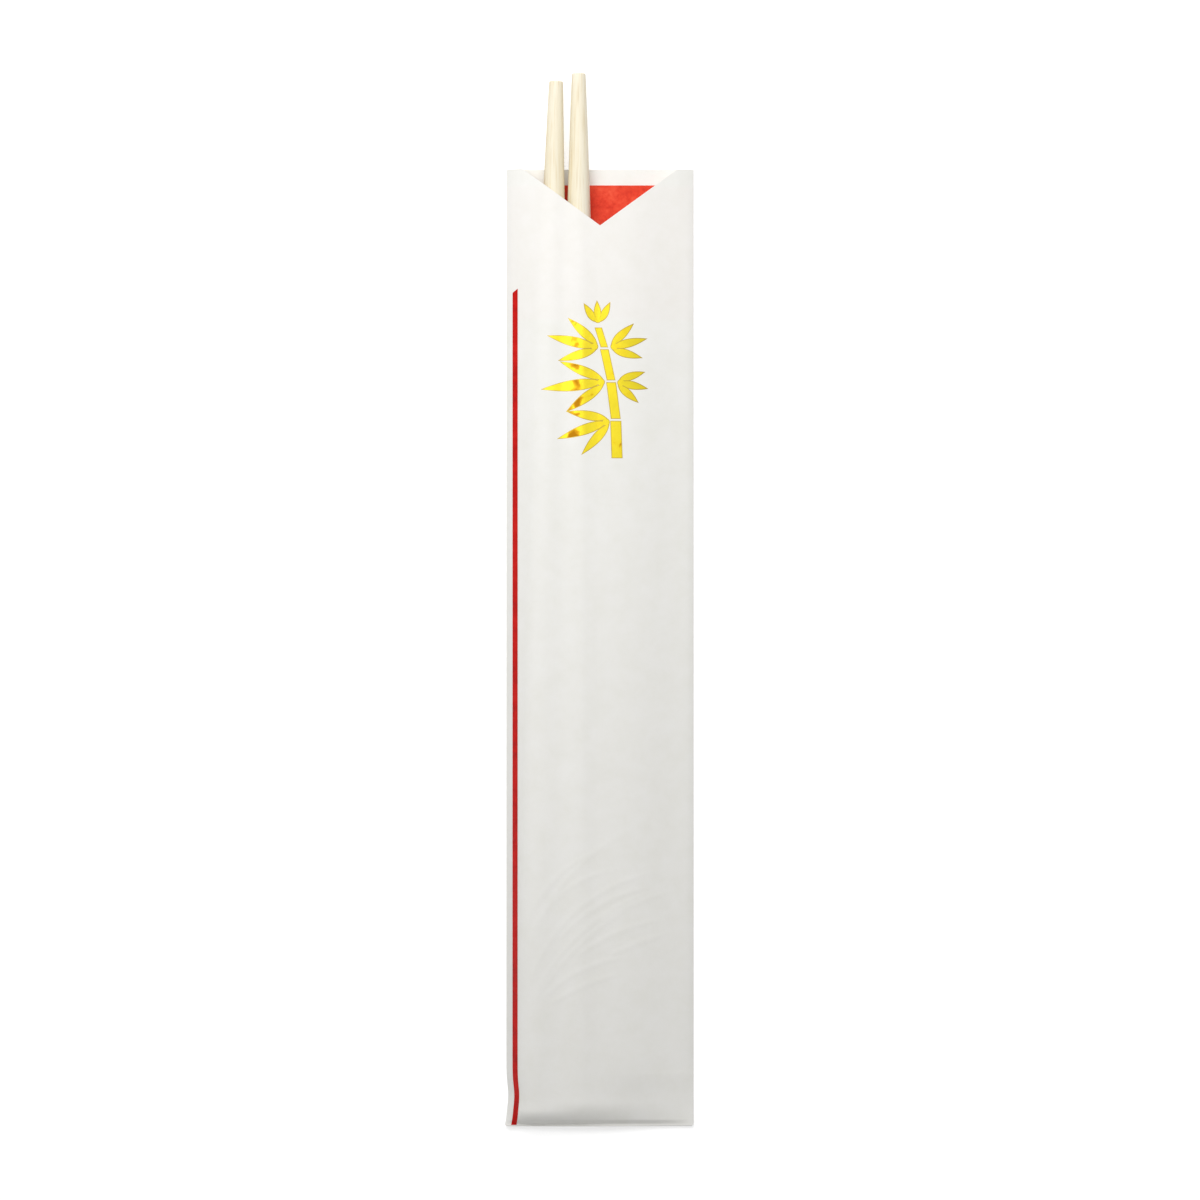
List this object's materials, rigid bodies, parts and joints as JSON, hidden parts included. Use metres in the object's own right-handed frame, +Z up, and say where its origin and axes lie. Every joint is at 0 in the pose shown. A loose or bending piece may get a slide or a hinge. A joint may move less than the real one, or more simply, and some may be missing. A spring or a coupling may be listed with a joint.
{
  "type": "pair of bamboo chopsticks in a paper sleeve",
  "caption": "Pair of round bamboo chopsticks, tapered to both ends, in an open flat paper sleeve with a V-cut mouth, a red lining, a red edge line and a gold foil bamboo sprig.",
  "frame": {"origin": "middle of the whole object's underside, on the surface that the sleeve's back lies on", "axes": "+X across the sleeve to the right, +Y along it towards the mouth and the sticks' tips, +Z up from the surface"},
  "size_m": [0.044, 0.247, 0.007],
  "materials": {
    "sleeve_paper": "smooth uncoated white paper",
    "bamboo": "sanded raw bamboo, fine straight grain",
    "bright_red_ink": "bright red print on paper",
    "deep_red_ink": "deep red print on paper",
    "gold_foil": "bright hot-stamped gold foil"
  },
  "bodies": {
    "root": {"paper_sleeve": "sleeve_paper", "left_chopstick": "bamboo", "right_chopstick": "bamboo", "red_field": "bright_red_ink", "red_stripe": "deep_red_ink", "gold_sprig": "gold_foil"}
  },
  "joints": []
}
